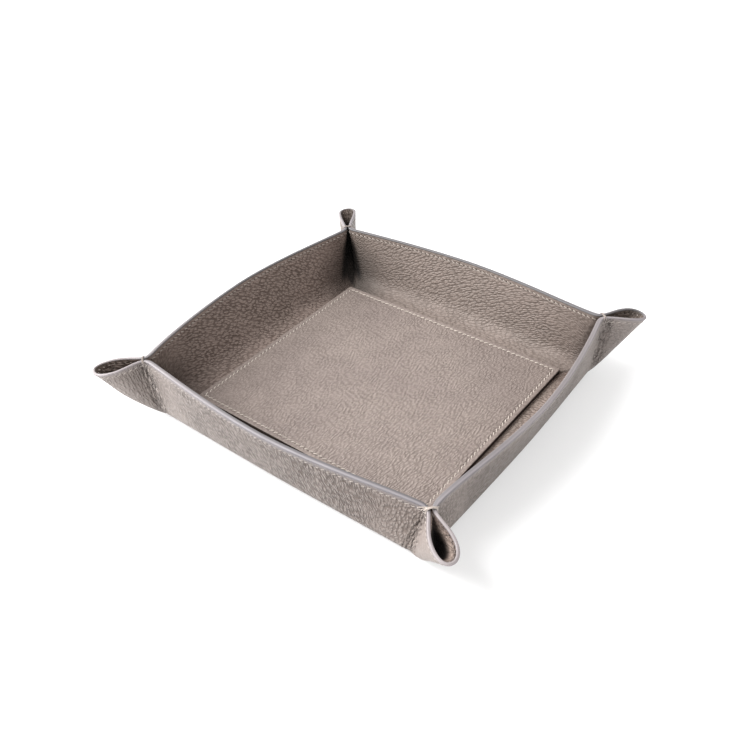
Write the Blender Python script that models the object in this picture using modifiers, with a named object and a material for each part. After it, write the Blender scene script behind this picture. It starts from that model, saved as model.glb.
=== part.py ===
"""Leather tray: two bonded skins folded up into four walls, with pinched and sewn corners.

The walls and the corner ears are one loft. Its lower outline is the rounded rectangle where
the floor folds up, its upper outline is the bowed rim with a teardrop ear at each corner, and
straight lines join the two, as bent leather does. Metres, +Z up, standing on Z = 0 with the
origin under the middle of the floor. +X runs along the longer side.
"""
import math

import bmesh
import bpy
import numpy as np

# Leather and board
SKIN = 0.00135              # thickness of the outer skin and of the lining
SEAM_GAP = 0.0003           # left between two pieces that lie on each other
BOARD = 0.0014              # stiff board under the raised base panel
PANEL_SKIN = 0.0012         # leather on top of the board

# Outline where the floor turns into the walls
BASE_LENGTH = 0.2165
BASE_WIDTH = 0.2065
BASE_CORNER = 0.0150
BASE_WAIST = 0.0010         # the fold line draws in this much between two corners
FOLD_REACH = 0.0110         # the floor starts to curl this far before the fold
FLOOR_LIFT = 0.0001         # the floor rises this much from under the panel's edge to the curl

# Raised base panel, which leaves a strip of floor bare inside the fold
END_STRIP = 0.01575
SIDE_STRIP = 0.02075
PANEL_LENGTH = BASE_LENGTH - 2 * END_STRIP
PANEL_WIDTH = BASE_WIDTH - 2 * SIDE_STRIP
PANEL_CORNER = 0.0016       # rounding of the panel's corners, seen from above
PANEL_EDGE_ROUND = 0.0003   # softened top edge of the panel

# Rim: how far it leans out from the fold line, and its height
END_LEAN = 0.01435          # middle of the long ends
RIM_END_HEIGHT = 0.0450
SIDE_LEAN = 0.00865         # middle of the sides
RIM_SIDE_HEIGHT = 0.0441
CORNER_END_LEAN = 0.00155   # at the pinched corners
CORNER_SIDE_LEAN = -0.00335
PINCH_HEIGHT = 0.0434
RIM_END_OUT = BASE_LENGTH / 2 + END_LEAN
RIM_SIDE_OUT = BASE_WIDTH / 2 + SIDE_LEAN
PINCH_X = BASE_LENGTH / 2 + CORNER_END_LEAN
PINCH_Y = BASE_WIDTH / 2 + CORNER_SIDE_LEAN
RIM_BOW_POWER = 1.7         # how the walls bow outwards between two corners
RIM_CREST_POWER = 6.8       # how late the rim dips towards a corner

# Corner ears
PINCH_APPROACH = 0.0080     # the rim starts to turn outwards this far before the pinch
PINCH_HALF = 0.00175        # middle of the two skins to the middle of the pinch
PINCH_DEPTH = 0.0016        # from the rims' meeting point to the narrowest place
EAR_LENGTH = 0.0345
EAR_HALF_WIDTH = 0.0052
EAR_DROP = 0.0035           # the tip hangs this much below the pinch

# Shares of the lengths above that shape the ear's outline
EAR_WIDEST_SHARE = 0.62
TURN_IN_SHARE = 0.45
TURN_OUT_SHARE = 0.30
EAR_START_SHARE = 0.16
EAR_BELLY_SHARE = 0.26
EAR_CROWN_SHARE = 0.24
EAR_TIP_SHARE = 0.80
SHOULDER_SHARE = 0.28       # fullness of the tack thread where it turns over the rim

# Sewing
THREAD = 0.0005             # sewing thread
THREAD_LIFT = 0.0002        # from the leather to the thread that lies on it
STITCH_MARGIN = 0.0035      # stitch line to the edge of the leather
GROOVE = 0.0008             # radius of the groove that takes the lower panel thread
TACK_THREAD = 0.0009        # thick thread of the corner tacks
TACK_LIFT = 0.0003
TACK_REACH = 0.0026         # the tack ends above the stitch line, this far down each side

# Fineness of the facets
WALL_STEPS = 6
TURN_STEPS = 4
EAR_STEPS = 10
FOLD_STEPS = 4
RISE_STEPS = 3
CORNER_STEPS = 4

WRAP = SKIN + SEAM_GAP / 2           # middle of the two skins to their outer faces
FLOOR_TOP = 2 * WRAP
PANEL_TOP = FLOOR_TOP + SEAM_GAP + BOARD + SEAM_GAP + PANEL_SKIN
DIAGONAL = np.array([1.0, 1.0]) / math.sqrt(2.0)
ACROSS = np.array([-1.0, 1.0]) / math.sqrt(2.0)


def clear_scene():
    for old in list(bpy.data.objects):
        bpy.data.objects.remove(old, do_unlink=True)


def new_collection(name):
    made = bpy.data.collections.new(name)
    bpy.context.scene.collection.children.link(made)
    return made


def new_material(name, colour, roughness):
    made = bpy.data.materials.new(name)
    made.use_nodes = True
    shader = made.node_tree.nodes["Principled BSDF"]
    shader.inputs["Base Color"].default_value = (*colour, 1.0)
    shader.inputs["Roughness"].default_value = roughness
    shader.inputs["Metallic"].default_value = 0.0
    made.diffuse_color = (*colour, 1.0)
    return made


def add_object(name, data, material, collection):
    made = bpy.data.objects.new(name, data)
    made.data.materials.append(material)
    collection.objects.link(made)
    return made


def bend(start, pull_start, pull_end, end, steps):
    """Points of one Bezier bend, without its first point."""
    at = np.linspace(0.0, 1.0, steps + 1)[1:, None]
    left = 1.0 - at
    return (left**3 * start + 3 * left**2 * at * pull_start
            + 3 * left * at**2 * pull_end + at**3 * end)


def rim_half(pinch_along, pinch_out, middle_out, middle_height):
    """Rim of half a wall and half an ear, as rows of along, out and height."""
    walk = np.linspace(0.0, 1.0 - PINCH_APPROACH / pinch_along, WALL_STEPS + 1)
    along = walk * pinch_along
    out = middle_out - (middle_out - pinch_out) * walk**RIM_BOW_POWER
    wall = np.column_stack([along, out])
    pinch = np.array([pinch_along, pinch_out])
    reach = EAR_LENGTH * DIAGONAL
    neck = pinch + PINCH_DEPTH * DIAGONAL + PINCH_HALF * ACROSS
    belly = pinch + EAR_WIDEST_SHARE * reach + EAR_HALF_WIDTH * ACROSS
    tip = pinch + reach
    heading = (wall[-1] - wall[-2]) / np.linalg.norm(wall[-1] - wall[-2])
    turn = bend(wall[-1], wall[-1] + TURN_IN_SHARE * PINCH_APPROACH * heading,
                neck - TURN_OUT_SHARE * PINCH_APPROACH * DIAGONAL, neck, TURN_STEPS)
    flank = bend(neck, neck + EAR_START_SHARE * reach, belly - EAR_BELLY_SHARE * reach, belly,
                 EAR_STEPS // 2)
    nose = bend(belly, belly + EAR_CROWN_SHARE * reach, tip + EAR_TIP_SHARE * EAR_HALF_WIDTH * ACROSS,
                tip, EAR_STEPS // 2)
    plan = np.concatenate([wall, turn, flank, nose])
    to_pinch = np.clip(plan[:, 0] / pinch_along, 0.0, 1.0)
    to_tip = np.clip((plan - pinch) @ DIAGONAL / EAR_LENGTH, 0.0, 1.0)
    height = (middle_height - (middle_height - PINCH_HEIGHT) * to_pinch**RIM_CREST_POWER
              - EAR_DROP * to_tip**2)
    return np.column_stack([plan, height])


def base_half(base_along, base_out):
    """Fold line under the same half wall and ear, with its outward directions."""
    straight_end = base_along - BASE_CORNER
    walk = np.linspace(0.0, 1.0, WALL_STEPS + 1)
    wall = np.column_stack([straight_end * walk, base_out - BASE_WAIST * (1.0 - walk**2)])
    angle = math.pi / 4 * np.linspace(0.0, 1.0, TURN_STEPS + 2 * (EAR_STEPS // 2) + 1)[1:]
    corner = np.column_stack([straight_end + BASE_CORNER * np.sin(angle),
                              base_out - BASE_CORNER * (1.0 - np.cos(angle))])
    angle = np.concatenate([np.zeros(len(wall)), angle])
    return np.concatenate([wall, corner]), np.column_stack([np.sin(angle), np.cos(angle)])


def quarter_loft():
    """Middle surface between the two skins for one quarter: rows from floor to rim."""
    ends = (BASE_WIDTH / 2, BASE_LENGTH / 2, PINCH_Y, PINCH_X, RIM_END_OUT, RIM_END_HEIGHT)
    sides = (BASE_LENGTH / 2, BASE_WIDTH / 2, PINCH_X, PINCH_Y, RIM_SIDE_OUT, RIM_SIDE_HEIGHT)
    halves = []
    for base_along, base_out, pinch_along, pinch_out, middle_out, middle_height in (ends, sides):
        rim = rim_half(pinch_along, pinch_out, middle_out, middle_height)
        plan, outward = base_half(base_along, base_out)
        level = np.full(len(plan), WRAP + FLOOR_LIFT)
        fold = np.column_stack([plan, level])
        floor = np.column_stack([plan - FOLD_REACH * outward, level])
        rise = rim - fold
        foot = fold + FOLD_REACH * rise / np.linalg.norm(rise, axis=1, keepdims=True)
        curl = np.linspace(0.0, 1.0, FOLD_STEPS + 1)
        rows = [(1 - t)**2 * floor + 2 * (1 - t) * t * fold + t * t * foot for t in curl]
        rows += [foot + (rim - foot) * t for t in np.linspace(0.0, 1.0, RISE_STEPS + 1)[1:]]
        halves.append(np.array(rows))
    end_half = halves[0][..., [1, 0, 2]]
    side_half = halves[1][:, -2::-1]
    return np.concatenate([end_half, side_half], axis=1)


def normals(loft):
    """Directions out of the tray, square to the middle surface."""
    along = np.gradient(loft, axis=1)
    up = np.gradient(loft, axis=0)
    square = np.cross(along, up)
    return square / np.linalg.norm(square, axis=-1, keepdims=True)


def quarter_mesh(name, loft):
    """Open quarter of the tray: the loft's bands, and the flat floor fanned from under the panel's corner."""
    rows, columns = loft.shape[:2]
    half_length, half_width = PANEL_LENGTH / 2, PANEL_WIDTH / 2
    points = [tuple(p) for p in loft.reshape(-1, 3)]
    centre, end, corner, side = range(len(points), len(points) + 4)
    points += [(0.0, 0.0, WRAP), (half_length, 0.0, WRAP), (half_length, half_width, WRAP),
               (0.0, half_width, WRAP)]
    faces = [(r * columns + c, r * columns + c + 1, (r + 1) * columns + c + 1, (r + 1) * columns + c)
             for r in range(rows - 1) for c in range(columns - 1)]
    faces += [(c + 1, c, corner) for c in range(columns - 1)]
    faces += [(corner, 0, end), (corner, side, columns - 1), (side, corner, end, centre)]
    mesh = bpy.data.meshes.new(name)
    mesh.from_pydata(points, [], faces)
    mesh.update()
    return mesh


def tray_skin(name, loft, side, material, collection):
    """One skin of the tray; side is 1 for the outer skin and -1 for the lining."""
    skin = add_object(name, quarter_mesh(name, loft), material, collection)
    mirror = skin.modifiers.new("four quarters", "MIRROR")
    mirror.use_axis = (True, True, False)
    mirror.merge_threshold = 0.0001
    shell = skin.modifiers.new("leather thickness", "SOLIDIFY")
    shell.thickness = SKIN
    shell.offset = side * (1.0 + SEAM_GAP / SKIN)
    shell.use_even_offset = True
    skin.data.shade_smooth()
    return skin


def rounded_outline(length, width, corner, height):
    """Points of a rounded rectangle round the origin, counter-clockwise."""
    points = []
    for sx, sy, start in ((1, 1, 0.0), (-1, 1, 0.5), (-1, -1, 1.0), (1, -1, 1.5)):
        for step in range(CORNER_STEPS + 1):
            angle = math.pi * (start + step / CORNER_STEPS / 2)
            points.append((sx * (length / 2 - corner) + corner * math.cos(angle),
                           sy * (width / 2 - corner) + corner * math.sin(angle), height))
    return points


def closed_thread(name, points, radius, sides_step, material, collection, closed=True):
    """Round thread along the points."""
    curve = bpy.data.curves.new(name, "CURVE")
    curve.dimensions = "3D"
    curve.bevel_depth = radius
    curve.bevel_resolution = sides_step
    curve.use_fill_caps = not closed
    spline = curve.splines.new("POLY")
    spline.points.add(len(points) - 1)
    for slot, point in zip(spline.points, points):
        slot.co = (*point, 1.0)
    spline.use_cyclic_u = closed
    spline.use_smooth = True
    return add_object(name, curve, material, collection)


def flat_sheet(name, bottom, thickness, material, collection):
    """Flat sheet with the panel's outline."""
    curve = bpy.data.curves.new(name, "CURVE")
    curve.dimensions = "2D"
    curve.fill_mode = "BOTH"
    curve.extrude = thickness / 2
    spline = curve.splines.new("POLY")
    outline = rounded_outline(PANEL_LENGTH, PANEL_WIDTH, PANEL_CORNER, 0.0)
    spline.points.add(len(outline) - 1)
    for slot, point in zip(spline.points, outline):
        slot.co = (*point, 1.0)
    spline.use_cyclic_u = True
    sheet = add_object(name, curve, material, collection)
    sheet.location.z = bottom + thickness / 2
    return sheet


def curve_to_mesh(source, collection):
    """Mesh object in place of a curve object, its caps welded."""
    bpy.context.view_layer.update()
    solved = source.evaluated_get(bpy.context.evaluated_depsgraph_get())
    mesh = bpy.data.meshes.new_from_object(solved)
    welded = bmesh.new()
    welded.from_mesh(mesh)
    bmesh.ops.remove_doubles(welded, verts=welded.verts, dist=1e-6)
    welded.to_mesh(mesh)
    welded.free()
    name = source.name
    place = source.matrix_world.copy()
    bpy.data.objects.remove(source, do_unlink=True)
    made = bpy.data.objects.new(name, mesh)
    made.matrix_world = place
    collection.objects.link(made)
    return made


def four_quarters(quarter):
    """A quarter path's points carried round all four corners as one closed loop."""
    back = quarter[-2::-1]
    first = quarter
    second = back * np.array([-1.0, 1.0, 1.0])
    third = quarter[1:] * np.array([-1.0, -1.0, 1.0])
    fourth = back[:-1] * np.array([1.0, -1.0, 1.0])
    return np.concatenate([first, second, third, fourth])


def rim_thread_path(loft, lift):
    """Quarter path one stitch margin below the rim, lifted off the middle surface."""
    foot, rim = loft[-2], loft[-1]
    drop = np.linalg.norm(rim - foot, axis=1, keepdims=True)
    return rim + (foot - rim) * STITCH_MARGIN / drop + lift * normals(loft)[-1]


def tack_path(loft, sx, sy):
    """Thread that goes over the pinched rims and down both outer sides of the neck."""
    lift = WRAP + TACK_LIFT + TACK_THREAD / 2
    out = normals(loft)[-1]
    half = []
    for column in (WALL_STEPS + TURN_STEPS, loft.shape[1] - 1 - WALL_STEPS - TURN_STEPS):
        rim, foot = loft[-1, column], loft[-2, column]
        down = (foot - rim) / np.linalg.norm(foot - rim)
        side = rim + lift * out[column]
        over = rim - (TACK_LIFT + TACK_THREAD / 2) * down
        shoulder = (side + over) / 2 + (side - rim + over - rim) * SHOULDER_SHARE
        half.append([side + down * TACK_REACH, side + down * TACK_REACH / 2, side, shoulder, over])
    points = half[0] + half[1][::-1]
    return [np.array(p) * np.array([sx, sy, 1.0]) for p in points]


def build():
    clear_scene()
    parts = new_collection("leather_tray")
    cutters = new_collection("leather_tray_cutters")
    grain = new_material("taupe_grain_leather", (0.37, 0.30, 0.255), 0.62)
    lining = new_material("taupe_lining_leather", (0.33, 0.27, 0.23), 0.60)
    panel = new_material("taupe_panel_leather", (0.38, 0.31, 0.265), 0.58)
    board = new_material("dark_board", (0.022, 0.014, 0.008), 0.80)
    thread = new_material("ecru_thread", (0.62, 0.56, 0.50), 0.70)

    loft = quarter_loft()
    outer = tray_skin("outer_leather", loft, 1, grain, parts)
    tray_skin("lining_leather", loft, -1, lining, parts)
    flat_sheet("panel_board", FLOOR_TOP + SEAM_GAP, BOARD, board, parts)
    cover = flat_sheet("panel_leather", PANEL_TOP - PANEL_SKIN, PANEL_SKIN, panel, parts)
    cover = curve_to_mesh(cover, parts)
    cover.data.materials.clear()
    cover.data.materials.append(panel)
    soften = cover.modifiers.new("softened edge", "BEVEL")
    soften.width = PANEL_EDGE_ROUND
    soften.segments = 1
    soften.limit_method = "ANGLE"

    seam_length = PANEL_LENGTH - 2 * STITCH_MARGIN
    seam_width = PANEL_WIDTH - 2 * STITCH_MARGIN
    groove_path = rounded_outline(seam_length, seam_width, PANEL_CORNER, 0.0)
    groove = closed_thread("panel_seam_groove", groove_path, GROOVE, 1, thread, cutters)
    groove = curve_to_mesh(groove, cutters)
    groove.hide_render = True
    groove.display_type = "WIRE"
    cut = outer.modifiers.new("panel seam groove", "BOOLEAN")
    cut.operation = "DIFFERENCE"
    cut.solver = "EXACT"
    cut.object = groove

    upper_path = rounded_outline(seam_length, seam_width, PANEL_CORNER,
                                 PANEL_TOP + THREAD_LIFT + THREAD / 2)
    lower_path = rounded_outline(seam_length, seam_width, PANEL_CORNER, GROOVE / 2)
    closed_thread("panel_needle_thread", upper_path, THREAD / 2, 1, thread, parts)
    closed_thread("panel_bobbin_thread", lower_path, THREAD / 2, 1, thread, parts)

    lift = WRAP + THREAD_LIFT + THREAD / 2
    closed_thread("rim_needle_thread", four_quarters(rim_thread_path(loft, -lift)), THREAD / 2, 0,
                  thread, parts)
    closed_thread("rim_bobbin_thread", four_quarters(rim_thread_path(loft, lift)), THREAD / 2, 0,
                  thread, parts)
    for place, sx, sy in (("right", 1, 1), ("front", 1, -1), ("left", -1, -1), ("back", -1, 1)):
        closed_thread("corner_tack_" + place, tack_path(loft, sx, sy), TACK_THREAD / 2, 1, thread,
                      parts, closed=False)


build()
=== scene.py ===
import math

import bpy
import numpy as np
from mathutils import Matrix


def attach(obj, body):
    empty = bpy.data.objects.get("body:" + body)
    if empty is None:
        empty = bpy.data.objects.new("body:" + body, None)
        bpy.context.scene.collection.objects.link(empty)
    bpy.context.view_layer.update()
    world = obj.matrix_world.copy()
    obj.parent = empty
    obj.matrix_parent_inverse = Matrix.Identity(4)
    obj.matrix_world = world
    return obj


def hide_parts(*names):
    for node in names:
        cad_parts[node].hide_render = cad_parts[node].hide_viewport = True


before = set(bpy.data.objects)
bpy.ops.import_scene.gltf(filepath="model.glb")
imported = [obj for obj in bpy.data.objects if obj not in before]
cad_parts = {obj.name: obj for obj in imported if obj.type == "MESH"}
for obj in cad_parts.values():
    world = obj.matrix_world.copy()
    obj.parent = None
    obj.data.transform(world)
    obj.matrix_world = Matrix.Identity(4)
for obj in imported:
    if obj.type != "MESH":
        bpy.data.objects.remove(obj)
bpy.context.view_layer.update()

scene = bpy.context.scene
mm = 0.001  # every shape below is worked out in millimetres
seed = 11
print("tray: packed model loaded,", len(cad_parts), "nodes")

# Camera, worked out from the panel's stitch lines and the four sewn corners

photoView = {
    "place": (0.27219, -0.34208, 0.36224),   # metres
    "turn": (51.314, 1.960, 37.413),         # degrees
    "lens": 39.78,
}
cameraData = bpy.data.cameras.new("photoCamera")
cameraData.lens = photoView["lens"]
cameraData.sensor_width = 36
cameraData.clip_start = 0.01
camera = bpy.data.objects.new("photoCamera", cameraData)
camera.location = photoView["place"]
camera.rotation_euler = [math.radians(a) for a in photoView["turn"]]
scene.collection.objects.link(camera)
scene.camera = camera

# The folded tray: one surface midway between the two skins, round the whole tray

tray = {
    "leather": 1.5,          # each of the two glued skins
    "skived": 0.62,          # share of that left in the ears, where the leather is pared thin to fold
    "glueLine": 0.05,        # from the middle surface to each skin
    "foldRound": 14.0,       # corners of the fold line, seen from above
    "foldReach": 11.8,       # how far the soft fold reaches into floor and wall
    "foldStraight": 6.0,     # straight run of the fold line that belongs to a corner
    "bowPower": 1.69,        # how the rim bows in towards the corners
    "crestPower": 6.84,      # and how its height changes towards them
    "turn": 8.0,             # the rim turns out to the pinch over this length
    "turnPull": 0.45,        # pull of the curves' handles, as shares of the lengths beside them
    "flankPull": 0.16,
    "bellyPull": 0.26,
    "tipRound": 0.6,
    "neckPull": 2.4,         # the same at the neck, in mm
    "neckDeep": 1.6,         # the neck lies this far out from the pinch
    "neckHalf": 1.65,        # half its width
    "leanPower": 1.5,        # how an ear's lean grows towards its tip
    "neckShare": 0.6,        # of the fold line's corner, passed before the neck
    "bellyShare": 0.82,      # and before the belly of the ear
    "edgeDrop": 0.9,         # cut edge of the skins, below the painted top of the rim
    "cutRound": 25.0,        # corners of the flat cut leather
    "sagFrom": 0.2,          # share of the way up where an ear starts to sag
    "sagReach": 4.0,         # and how far before its belly
    "paredAcross": (-7, 5),  # past the neck, where the leather gets thin
    "paredDown": (26, 40),   # below the rim, where it gets full again
}
walls = {  # the foot and outside values are painted shade at -1 and painted light at 1; inside and contact values are shares of painted shade, and bold is a share of the grain
    "frontRight": {"endWall": True, "base": 108.9, "rimOut": 121.8, "rimHeight": 46.0,
                   "footLightShade": 1.0, "outLightShade": 0.6, "bold": 1.0, "inShade": 0.0, "contactShadow": 0.0},
    "backLeft": {"endWall": True, "base": 106.2, "rimOut": 123.5, "rimHeight": 44.0,
                 "footLightShade": -0.12, "outLightShade": 0.0, "bold": 1.05, "inShade": 0.0, "contactShadow": 0.7},
    "backRight": {"endWall": False, "base": 99.3, "rimOut": 111.2, "rimHeight": 45.1,
                  "footLightShade": 0.25, "outLightShade": 0.0, "bold": 0.75, "inShade": 0.3, "contactShadow": 0.0},
    "frontLeft": {"endWall": False, "base": 107.1, "rimOut": 112.7, "rimHeight": 43.2,
                  "footLightShade": 0.8, "outLightShade": 0.05, "bold": 1.0, "inShade": 0.0, "contactShadow": 0.0},
}
corners = [  # in order round the tray, with the wall before and the wall after
    {"name": "right", "tackTurns": 3, "signs": (1, 1), "walls": ("frontRight", "backRight"),
     "pinch": (108.7, 98.7, 47.4), "ear": 31.8, "lean": -2.0, "tip": 42.6, "belly": (5.5, 7.0),
     "widest": 0.72, "sag": 1.0, "earGrain": 0.5, "earFlankShade": 0.65, "earLipLight": 0.5, "earShade": 0.35,
     "earEdgeLight": 0.1, "cornerShade": 0.0, "foldShade": 0.3, "sideLightShade": 0.0, "folds": 1.0, "foldShift": 2.6},
    {"name": "back", "tackTurns": 3, "signs": (-1, 1), "walls": ("backRight", "backLeft"),
     "pinch": (107.6, 101.3, 45.2), "ear": 33.8, "lean": -3.3, "tip": 44.6, "belly": (6.0, 6.0),
     "widest": 0.84, "sag": 1.0, "earGrain": 0.8, "earFlankShade": 0.1, "earLipLight": 0.1, "earShade": 0.6,
     "earEdgeLight": 0.5, "cornerShade": 0.8, "foldShade": 1.0, "sideLightShade": 0.0, "folds": 0.6, "foldShift": 0.5},
    {"name": "left", "tackTurns": 3, "signs": (-1, -1), "walls": ("backLeft", "frontLeft"),
     "pinch": (111.9, 102.0, 41.6), "ear": 34.3, "lean": 0.1, "tip": 37.4, "belly": (5.2, 9.3),
     "widest": 0.66, "sag": 3.5, "earGrain": 0.7, "earFlankShade": 0.62, "earLipLight": 0.1, "earShade": 0.55,
     "earEdgeLight": 0.9, "cornerShade": 0.75, "foldShade": 0.8, "sideLightShade": 0.35, "folds": 1.0, "foldShift": -0.5},
    {"name": "front", "tackTurns": 6, "signs": (1, -1), "walls": ("frontLeft", "frontRight"),
     "pinch": (109.2, 99.2, 40.1), "ear": 35.1, "lean": 2.6, "tip": 36.7, "belly": (7.0, 5.6),
     "widest": 0.68, "sag": 0.0, "earGrain": 0.2, "earFlankShade": 0.0, "earLipLight": 1.0, "earShade": 0.0,
     "earEdgeLight": 1.0, "cornerShade": 0.0, "foldShade": 0.6, "sideLightShade": -0.35, "folds": 0.5, "foldShift": 0.5},
]
fineness = {"curlRows": 12, "wallRows": 26, "lastWallRow": 0.985, "hiddenRows": 5,
            "rim": (260, 60, 80, 80), "rimSamples": 1600,
            "columnAt": (-60, -14, -7, 10, 15, 40), "columnStep": (2.4, 1.4, 0.32, 0.32, 0.8, 0.8)}
panel = {"length": 185.0, "width": 165.0, "margin": 3.5, "corner": 1.6, "bottom": 4.75, "top": 6.2}
seamSize = {True: panel["width"] - 2 * panel["margin"], False: panel["length"] - 2 * panel["margin"]}


def unit(v):
    return v / np.linalg.norm(v, axis=-1, keepdims=True)


def bezier(a, b, c, d, count):
    t = np.linspace(0, 1, count + 1)[1:, None]
    return (1 - t)**3 * a + 3 * (1 - t)**2 * t * b + 3 * (1 - t) * t * t * c + t**3 * d


def softFold(floor, fold, foot, count):
    t = np.linspace(0, 1, count + 1).reshape((-1,) + (1,) * floor.ndim)
    return (1 - t)**2 * floor + 2 * (1 - t) * t * fold + t * t * foot


def arcOf(points):
    return np.concatenate([[0.0], np.cumsum(np.linalg.norm(np.diff(points, axis=0), axis=1))])


def pickedAt(at, knots, points):  # places along a line of points
    return np.column_stack([np.interp(at, knots, points[:, k]) for k in range(3)])


def smooth(low, high, value):
    t = np.clip((value - low) / (high - low), 0, 1)
    return t * t * (3 - 2 * t)


def gentleMap(at, knots, values, spread=3.0, step=0.25):  # straight runs with their kinks rounded off
    fine = np.arange(0, knots[-1] + step, step)
    line = np.interp(fine, knots, values)
    pad = int(spread / step)
    line = np.concatenate([2 * line[0] - line[pad:0:-1], line, 2 * line[-1] - line[-2:-pad - 2:-1]])
    box = np.ones(pad + 1) / (pad + 1)
    line = np.convolve(line, box, "same")
    return np.interp(at, fine, line[pad:pad + len(fine)])


def climbOf(rows):  # length up each column, from the first row
    steps = np.linalg.norm(np.diff(rows, axis=0), axis=2)
    return np.concatenate([np.zeros((1, rows.shape[1])), np.cumsum(steps, axis=0)])


def unfoldedHalf(wall):  # middle of the floor to the rim, laid flat
    fold, rim = np.array([wall["base"], tray["leather"]]), np.array([wall["rimOut"], wall["rimHeight"]])
    floor, foot = fold - [tray["foldReach"], 0], fold + tray["foldReach"] * unit(rim - fold)
    curl = softFold(floor, fold, foot, 2 * fineness["curlRows"])
    return floor[0] + arcOf(curl)[-1] + np.linalg.norm(rim - foot)


def rimOfHalf(wall, corner):  # rows of along the wall, out of it, height
    px, py, pz = corner["pinch"]
    pinch = np.array([py, px] if wall["endWall"] else [px, py])
    lean = corner["lean"] * (1 if wall["endWall"] else -1)
    length = corner["ear"]
    diagonal, across = np.array([1, 1]) / 2**0.5, np.array([-1, 1]) / 2**0.5
    steps = fineness["rim"]
    share = np.linspace(0, 1 - tray["turn"] / pinch[0], steps[0])
    out = wall["rimOut"] - (wall["rimOut"] - pinch[1]) * share**tray["bowPower"]
    run = np.column_stack([share * pinch[0], out])
    heading = unit(run[-1] - run[-2])
    neck = pinch + tray["neckDeep"] * diagonal + tray["neckHalf"] * across
    widest, half = corner["widest"], corner["belly"][0 if wall["endWall"] else 1]
    belly = pinch + widest * length * diagonal + (half + lean * widest**tray["leanPower"]) * across
    tip = pinch + length * diagonal + lean * across
    axis = unit(length * diagonal + tray["leanPower"] * lean * across)
    turn = bezier(run[-1], run[-1] + tray["turnPull"] * tray["turn"] * heading,
                  neck - tray["neckPull"] * diagonal, neck, steps[1])
    flank = bezier(neck, neck + tray["flankPull"] * length * diagonal,
                   belly - tray["bellyPull"] * length * axis, belly, steps[2])
    nose = bezier(belly, belly + tray["tipRound"] * (1 - widest) * length * axis,
                  tip + tray["tipRound"] * half * across, tip, steps[3])
    plan = np.concatenate([run, turn, flank, nose])
    toPinch = np.clip(plan[:, 0] / pinch[0], 0, 1)**tray["crestPower"]
    toTip = np.clip((plan - pinch) @ diagonal / length, 0, 1)**2
    height = wall["rimHeight"] - (wall["rimHeight"] - pz) * toPinch - (pz - corner["tip"]) * toTip
    rim = np.column_stack([plan, height])
    return rim, arcOf(rim), arcOf(rim)[[0, *(np.cumsum(steps) - 1)]]


def halfLoft(wall, other, corner):  # from the middle of a wall to the tip of an ear
    rimFine, arc, marks = rimOfHalf(wall, corner)
    span = np.linspace(0, arc[-1], fineness["rimSamples"])
    density = 1 / np.interp(span - marks[2], fineness["columnAt"], fineness["columnStep"])
    filled = np.concatenate([[0], np.cumsum((density[1:] + density[:-1]) / 2 * np.diff(span))])
    at = np.interp(np.linspace(0, filled[-1], int(filled[-1]) + 1), filled, span)
    rim = pickedAt(at, arc, rimFine)

    rounding, straight = tray["foldRound"], tray["foldStraight"]
    begin, turning = other["base"] - rounding - straight, straight + rounding * math.pi / 4
    q = gentleMap(at, marks, np.array([0, begin, begin + tray["neckShare"] * turning,
                                         begin + tray["bellyShare"] * turning, begin + turning]))
    angle = np.clip((q - other["base"] + rounding) / rounding, 0, None)
    side, out = np.sin(angle), np.cos(angle)
    fold = np.column_stack([np.where(angle > 0, other["base"] - rounding + rounding * side, q),
                            wall["base"] - rounding + rounding * out, np.full(len(q), tray["leather"])])
    outward = np.column_stack([side, out, 0 * q])
    floor = fold - tray["foldReach"] * outward
    rise = unit(rim - fold)
    foot = fold + tray["foldReach"] * rise
    top = rim - tray["edgeDrop"] * rise
    climb = np.linspace(0, fineness["lastWallRow"], fineness["wallRows"])[1:]
    climb = np.append(climb, 1.0)[:, None, None]
    curl = softFold(floor, fold, foot, fineness["curlRows"])
    rows = np.concatenate([curl, foot + (top - foot) * climb, rim[None]])

    length, start = climbOf(rows), tray["sagFrom"]  # the lower edge of a soft ear sags
    low = np.clip((length / length[-1] - start) / (1 - start), 0, 1)
    near = smooth(marks[3] - tray["sagReach"], marks[4], at)
    ahead = rise[-1, :2] / np.linalg.norm(rise[-1, :2])
    below = np.array([*(ahead * rise[-1, 2]), -np.linalg.norm(rise[-1, :2])])
    rows = rows + (corner["sag"] * np.sin(math.pi * low)**2 * near)[..., None] * below

    share = np.clip(q / (other["base"] - rounding), 0, 1)  # the panel's seam, column by column
    farSide, farOut = seamSize[wall["endWall"]] / 2, seamSize[not wall["endWall"]] / 2
    seam = np.column_stack([share * (farSide - panel["corner"]) + panel["corner"] * side,
                            farOut - panel["corner"] * (1 - out), 0 * q])

    # the same columns on the flat cut leather
    cutSide, cutOut, cutRound = unfoldedHalf(other), unfoldedHalf(wall), tray["cutRound"]
    run = at / at[-1] * (cutSide - cutRound + cutRound * math.pi / 4)
    bend = np.clip((run - cutSide + cutRound) / cutRound, 0, None)
    cutRim = np.column_stack([np.where(bend > 0, cutSide - cutRound + cutRound * np.sin(bend), run),
                              cutOut - cutRound * (1 - np.cos(bend))])
    climbed = climbOf(rows)
    lift = (climbed / climbed[-1])[..., None]
    cut = floor[:, :2] * (1 - lift) + cutRim * lift
    walked = np.cumsum(np.linalg.norm(np.diff(rows, axis=1, prepend=rows[:, :1]), axis=2), axis=1)
    neck = int(np.argmin(abs(at - marks[2])))
    if wall["endWall"]:  # along is y and out is x
        rows, seam, outward = (a[..., [1, 0, 2]] for a in (rows, seam, outward))
        cut = cut[..., ::-1]
    flip = np.array([*corner["signs"], 1.0])
    return {"rows": rows * flip, "seam": (seam * flip)[None], "outward": (outward * flip)[None],
            "cut": cut * flip[:2], "across": walked - walked[:, neck:neck + 1],
            "toTip": walked[:, -1:] - walked, "drop": climbed[-1] - climbed,
            "toSeam": climbed + np.linalg.norm(rows[0, :, :2] - seam[:, :2], axis=1)}


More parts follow.
